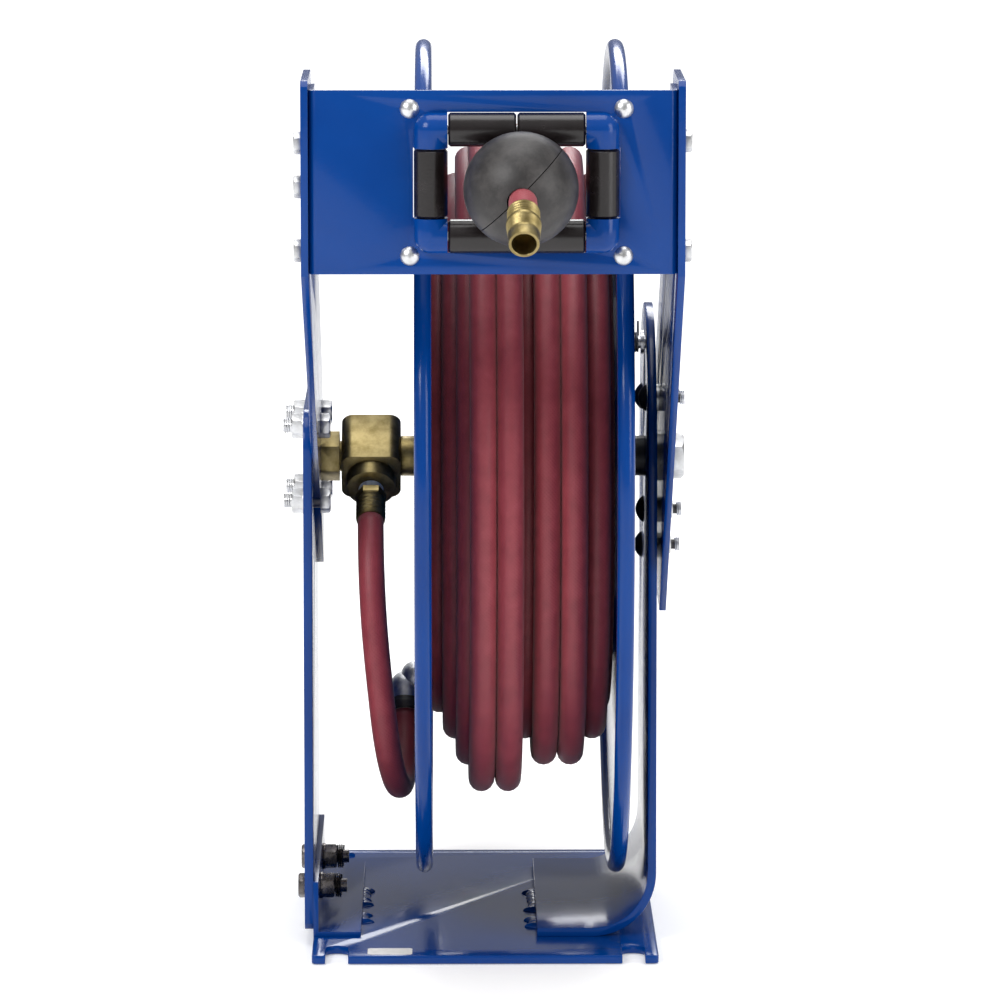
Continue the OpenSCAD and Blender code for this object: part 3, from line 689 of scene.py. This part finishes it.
def base_label():
    """Blank paper label with round corners near the base's front edge."""
    outline = []
    for side_x, side_y, turn in ((1, 1, 0), (-1, 1, 90), (-1, -1, 180), (1, -1, 270)):
        for k in range(5):
            a = math.radians(turn + 22.5 * k)
            outline.append((side_x * LABEL_HALF_X + LABEL_CORNER_R * math.cos(a),
                            side_y * LABEL_HALF_Y + LABEL_CORNER_R * math.sin(a)))
    verts = [Vector((LABEL_X + x, LABEL_Y + y, z)) * MM for z in LABEL_HEIGHTS for x, y in outline]
    count = len(outline)
    faces = [tuple(reversed(range(count))), tuple(range(count, 2 * count))]
    faces += [(k, (k + 1) % count, count + (k + 1) % count, count + k) for k in range(count)]
    label = add_mesh("base_label", verts, faces, smooth=False)
    finish_piece(label, "frame", LABEL)


threads()
pawl_coil()
weld_pieces()
base_label()


# ---- eased CAD pieces ----

# Width of each bevel in millimetres.
EASED = {
    "base_plate": 0.8, "base_angle": 0.8, "left_pedestal": 0.9, "right_pedestal": 0.9, "left_guide_arm": 0.8,
    "right_guide_arm": 0.8, "guide_bracket": 0.6, "swivel_body": 1.6, "swivel_collar": 0.6,
    "swivel_stem": 0.6, "axle_bolt": 0.5, "swivel_bolts": 0.35, "swivel_nuts": 0.35, "base_bolts": 0.4,
    "base_nuts": 0.4, "guide_bolts": 0.35, "guide_nuts": 0.3, "arm_nuts": 0.35, "ratchet_wheel": 0.5,
    "pawl": 0.6, "riser_clamp": 0.5, "drum_elbow": 0.3, "ball_stop_upper": 0.7, "ball_stop_lower": 0.7,
}
OWN_LOOK = {"base_bolts": DARK_ZINC, "base_nuts": DARK_ZINC, "drum_elbow": BRIGHT_CAST}
for node_name, width in EASED.items():
    look = OWN_LOOK.get(node_name, LOOKS[slot_of_node[node_name]])
    eased_copy(node_name, width, look)


# ---- floor and light ----

def floor():
    bpy.ops.mesh.primitive_plane_add(size=60, location=(0, 0, -0.0005))
    plane = bpy.context.object
    plane.name = "floor"
    material, tree, shader = new_material("floor")
    shader.inputs["Base Color"].default_value = (0.86, 0.86, 0.86, 1)
    shader.inputs["Roughness"].default_value = 0.7
    shader.inputs["Emission Color"].default_value = (1, 1, 1, 1)
    far = node_of(tree, "ShaderNodeVectorMath", operation="LENGTH")
    tree.links.new(place_of(tree), far.inputs[0])
    glow = node_of(tree, "ShaderNodeMapRange")
    for name, value in (("From Min", 1.0), ("From Max", 4.0), ("To Min", 0.25), ("To Max", 0.8)):
        glow.inputs[name].default_value = value
    tree.links.new(far.outputs["Value"], glow.inputs["Value"])
    tree.links.new(glow.outputs["Result"], shader.inputs["Emission Strength"])
    plane.data.materials.append(material)


def area_light(name, place, target, size, power):
    data = bpy.data.lights.new(name, "AREA")
    data.shape = "RECTANGLE"
    data.size, data.size_y = size
    data.energy = power
    light = bpy.data.objects.new(name, data)
    light.location = place
    light.rotation_euler = (Vector(target) - Vector(place)).to_track_quat("-Z", "Y").to_euler()
    bpy.context.scene.collection.objects.link(light)


floor()
MIDDLE = (0, 0, 0.28)
area_light("key", (-1.5, -1.9, 1.9), MIDDLE, (1.2, 1.2), 42)
area_light("fill", (1.9, -1.5, 1.1), MIDDLE, (1.0, 1.6), 22)
area_light("back", (0.3, 2.2, 1.8), MIDDLE, (1.6, 1.0), 34)
area_light("top", (0, -0.1, 2.4), MIDDLE, (1.4, 1.4), 20)


def studio_world():
    """White backdrop for the camera, and a softer room, darker towards the floor, for everything else."""
    world = bpy.data.worlds.new("studio")
    world.use_nodes = True
    tree = world.node_tree
    background = tree.nodes["Background"]
    background.inputs["Color"].default_value = (1, 1, 1, 1)
    height = tree.nodes.new("ShaderNodeSeparateXYZ")
    tree.links.new(tree.nodes.new("ShaderNodeTexCoord").outputs["Generated"], height.inputs[0])
    room = node_of(tree, "ShaderNodeMapRange")
    for name, value in (("From Min", -0.1), ("From Max", 1.0), ("To Min", 0.16), ("To Max", 0.75)):
        room.inputs[name].default_value = value
    tree.links.new(height.outputs["Z"], room.inputs["Value"])
    strength = node_of(tree, "ShaderNodeMix")
    seen = tree.nodes.new("ShaderNodeLightPath").outputs["Is Camera Ray"]
    tree.links.new(seen, strength.inputs["Factor"])
    tree.links.new(room.outputs["Result"], strength.inputs["A"])
    strength.inputs["B"].default_value = 1.0
    tree.links.new(strength.outputs["Result"], background.inputs["Strength"])
    bpy.context.scene.world = world


studio_world()
bpy.context.scene.view_settings.view_transform = "Standard"
